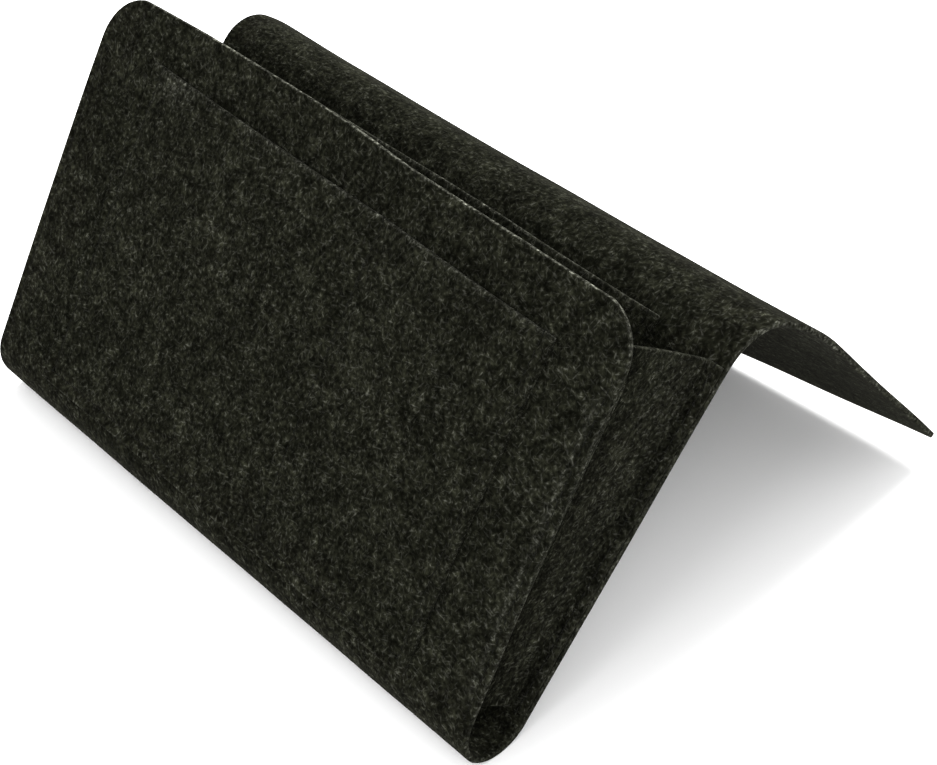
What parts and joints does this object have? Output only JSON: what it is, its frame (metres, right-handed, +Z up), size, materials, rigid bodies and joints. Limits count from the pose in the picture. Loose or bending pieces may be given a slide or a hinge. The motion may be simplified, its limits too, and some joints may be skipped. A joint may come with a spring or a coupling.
{
  "type": "bedside caddy",
  "caption": "Felt bedside caddy: one long sheet folded into a flap, back and front panel, with a wide main pocket between folded side gussets and flat patch pockets outside and inside.",
  "frame": {"origin": "on the floor, under the middle of the caddy as it stands like a tent", "axes": "+X along the caddy, to the right as seen from the front; +Y from the front panel to the flap's tip; +Z up"},
  "size_m": [0.36, 0.3148, 0.2009],
  "materials": {
    "felt": "charcoal marled pressed felt, matt, with short light fibres",
    "thread": "black spun sewing thread, slight sheen"
  },
  "bodies": {
    "back": {"back_panel": "felt", "top_fold": "felt", "bottom_fold": "felt", "inner_pocket": "felt", "gusset_right": "felt", "gusset_left": "felt", "inner_seam_left": "thread", "inner_seam_right": "thread", "inner_seam_bottom": "thread", "gusset_right_back_seam": "thread", "gusset_left_back_seam": "thread"},
    "front": {"front_panel": "felt", "patch_pocket": "felt", "patch_seam_left": "thread", "patch_seam_divider": "thread", "patch_seam_right": "thread", "patch_seam_bottom": "thread", "gusset_right_front_seam": "thread", "gusset_left_front_seam": "thread"},
    "flap": {"flap": "felt"}
  },
  "joints": [
    {"name": "flap_fold", "type": "hinge", "parent": "back", "child": "flap", "pos_m": [0, 0.01674, 0.12971], "axis": [1, 0, 0], "range_deg": [-85, 80], "deforming": ["top_fold"]},
    {"name": "pocket_close", "type": "hinge", "parent": "back", "child": "front", "pos_m": [0, -0.13424, 0.0225], "axis": [-1, 0, 0], "range_deg": [0, 18], "deforming": ["bottom_fold", "gusset_right", "gusset_left"]}
  ]
}
